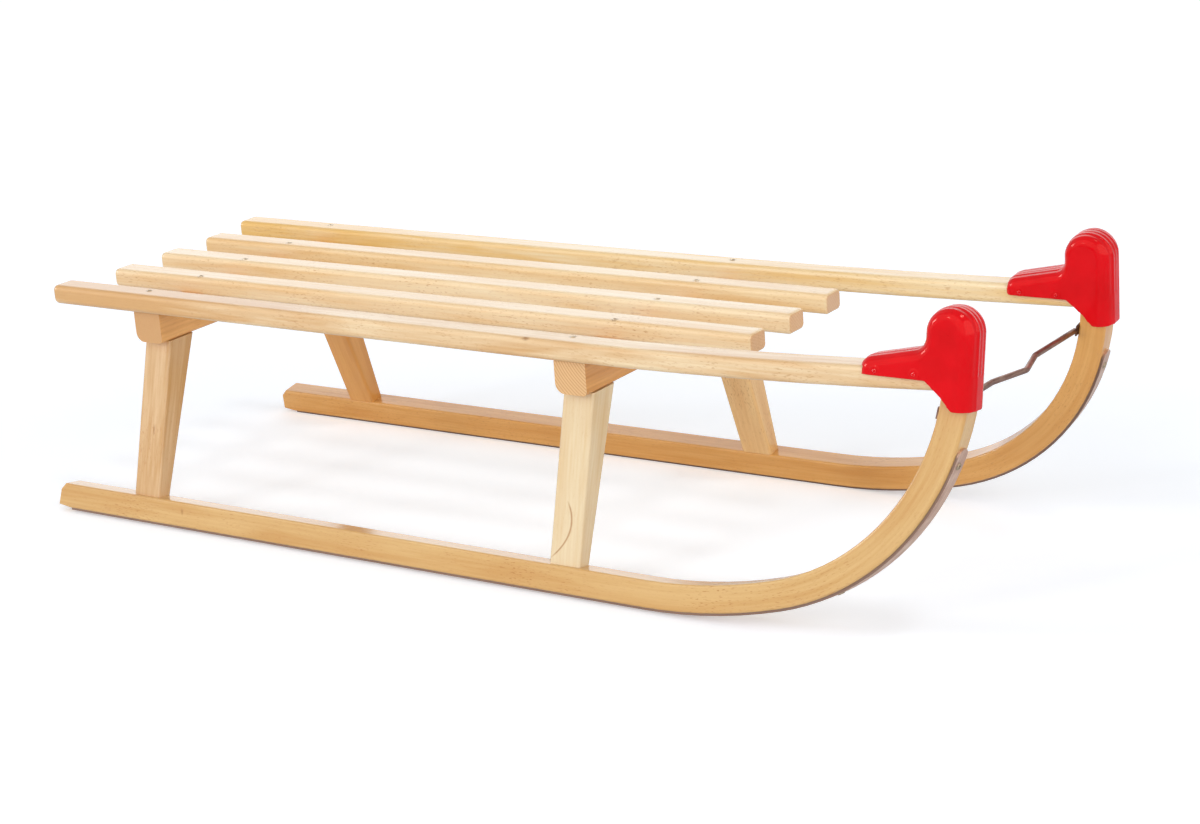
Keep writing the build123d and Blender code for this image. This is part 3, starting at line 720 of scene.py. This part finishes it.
# strip screws: their heads stand on the underside of the steel, along the flat and up the bend
stripScrews = {"head": 6.0 * mm, "height": 0.7 * mm, "recess": 3.0 * mm, "slot": 0.8 * mm, "seed": 7,
               "stripThickness": 2.0 * mm, "along": (32 * mm, 190 * mm, 350 * mm, 510 * mm),
               "bendAngles": (30, 69.6)}
places = []
for side in (-1, 1):
    for u in stripScrews["along"]:
        places.append((runnerPoint(u, -stripScrews["stripThickness"], 0, side), runnerAim(0, -1, side)))
    for angle in stripScrews["bendAngles"]:
        a = math.radians(angle)
        reach = runnerPath["secondRadius"] + stripScrews["stripThickness"]
        centre = bendCentre()
        places.append((runnerPoint(centre.x + reach * math.sin(a), centre.y - reach * math.cos(a), 0, side),
                       runnerAim(math.sin(a), -math.cos(a), side)))
makeScrews("stripScrews", places, stripScrews, screwSteel)

# cap nails: small heads on both cheeks of both skirts, each bare only in a ring round its boss
capNails = {"head": 3.0 * mm, "height": 0.7 * mm, "recess": 1.4 * mm, "slot": 0.4 * mm, "seed": 5, "sunk": 0.2 * mm}
places = []
for node in capShape["neck"]:
    for nailX, nailZ in capShape["nails"]:
        for cheek in (-1, 1):
            spot = Vector((nailX, cheek * (capShape["halfWidth"] - capNails["sunk"]), nailZ))
            seat, outside = capPlace(node, spot), capPlace(node, spot + Vector((0, cheek, 0)))
            places.append((seat, (outside - seat).normalized()))
makeScrews("capNails", places, capNails, nailSteel)

# one screw through each tab of the pull bar, from behind the horn; left and right are the heights of the tabs
barScrews = {"head": 5.0 * mm, "height": 1.0 * mm, "recess": 2.6 * mm, "slot": 0.7 * mm, "seed": 9,
             "left": 175.7 * mm, "right": 179.2 * mm, "tab": 1.3 * mm}
places = []
centre = bendCentre()
hollow = runnerPath["secondRadius"] - runnerPath["height"] - barScrews["tab"]
for side, level in ((1, barScrews["left"]), (-1, barScrews["right"])):
    turn = math.acos((centre.y - (level - runnerPath["baseZ"]) / math.cos(runnerPath["lean"])) / hollow)
    places.append((runnerPoint(centre.x + hollow * math.sin(turn), centre.y - hollow * math.cos(turn), 0, side),
                   runnerAim(-math.sin(turn), math.cos(turn), side)))
makeScrews("barScrews", places, barScrews, screwSteel)
print("screws and nails done")


# floor: pale and seamless; the camera sees it lifted to white, and it keeps the shadow
floorLook = {"size": 60.0, "colour": "#EDF2F9", "lift": 0.318}


def makeFloor():
    look = floorLook
    half = look["size"] / 2
    mesh = bpy.data.meshes.new("floor")
    mesh.from_pydata([(-half, -half, 0), (half, -half, 0), (half, half, 0), (-half, half, 0)], [], [(0, 1, 2, 3)])
    floor = bpy.data.objects.new("floor", mesh)
    scene.collection.objects.link(floor)
    material, tree = newMaterial("paleStudioFloor")
    matt = addNode(tree, "ShaderNodeBsdfDiffuse", {"Color": linear(look["colour"])})
    path = addNode(tree, "ShaderNodeLightPath")
    lift = addNode(tree, "ShaderNodeMath", {0: path.outputs["Is Camera Ray"], 1: look["lift"]}, operation="MULTIPLY")
    glow = addNode(tree, "ShaderNodeEmission", {"Color": (1, 1, 1, 1), "Strength": lift})
    both = addNode(tree, "ShaderNodeAddShader", {0: matt, 1: glow})
    addNode(tree, "ShaderNodeOutputMaterial", {"Surface": both})
    mesh.materials.append(material)


makeFloor()

# light: a white room and soft lamps so far off that the floor is lit evenly. Each is given by where it shines from,
# how wide it looks in degrees, and the level that a white wall facing it shows.
lightLook = {
    "room": 0.24,
    "gloss": 0.55,  # what glossy surfaces see, from 0 for the room's own level to 1 for white
    "lamps": {
        "front": {"from": (-0.30, -0.94, 0.14), "angle": 110, "level": 0.47},
        "small": {"from": (-0.36, -0.85, 0.42), "angle": 9, "level": 0.09},
        "left": {"from": (-0.85, -0.46, 0.26), "angle": 14, "level": 0.20},
        "overhead": {"from": (0.35, -0.14, 0.92), "angle": 9, "level": 0.08},
        "above": {"from": (-0.16, -0.74, 0.65), "angle": 45, "level": 0.05},
        "right": {"from": (0.95, -0.28, 0.14), "angle": 80, "level": 0.74},
        "behind": {"from": (-0.36, 0.88, 0.30), "angle": 70, "level": 0.29},
    },
}
world = bpy.data.worlds.new("whiteRoom")
scene.world = world
world.use_nodes = True
tree = world.node_tree
tree.nodes.clear()
path = addNode(tree, "ShaderNodeLightPath").outputs
gloss = addNode(tree, "ShaderNodeMath", {0: path["Is Glossy Ray"], 1: lightLook["gloss"]}, operation="MULTIPLY")
seen = addNode(tree, "ShaderNodeMath", {0: path["Is Camera Ray"], 1: gloss}, operation="MAXIMUM")
level = addNode(tree, "ShaderNodeMapRange", {"Value": seen, "To Min": lightLook["room"], "To Max": 1.0})
room = addNode(tree, "ShaderNodeBackground", {"Color": (1, 1, 1, 1), "Strength": level})
addNode(tree, "ShaderNodeOutputWorld", {"Surface": room})

for name, look in lightLook["lamps"].items():
    data = bpy.data.lights.new(name, "SUN")
    data.angle = math.radians(look["angle"])
    data.energy = look["level"] * math.pi
    lamp = bpy.data.objects.new(name, data)
    lamp.rotation_euler = Vector(look["from"]).to_track_quat("Z", "Y").to_euler()
    scene.collection.objects.link(lamp)

# camera: solved from the photograph's own lines; azimuth 0 looks along +Y
cameraLook = {"at": (1.19853, -1.71014, 0.73853), "azimuth": 34.21, "elevation": 17.21, "roll": -4.11,
              "lens": 76.73, "sensor": 36}
azimuth, elevation, roll = (math.radians(cameraLook[k]) for k in ("azimuth", "elevation", "roll"))
back = Vector((math.sin(azimuth) * math.cos(elevation), -math.cos(azimuth) * math.cos(elevation), math.sin(elevation)))
right = Vector((0, 0, 1)).cross(back).normalized()
up = back.cross(right)
right, up = right * math.cos(roll) + up * math.sin(roll), up * math.cos(roll) - right * math.sin(roll)
camera = bpy.data.objects.new("camera", bpy.data.cameras.new("camera"))
camera.data.lens = cameraLook["lens"]
camera.data.sensor_width = cameraLook["sensor"]
camera.matrix_world = Matrix.Translation(cameraLook["at"]) @ Matrix((right, up, back)).transposed().to_4x4()
scene.collection.objects.link(camera)
scene.camera = camera
print("camera and light set")
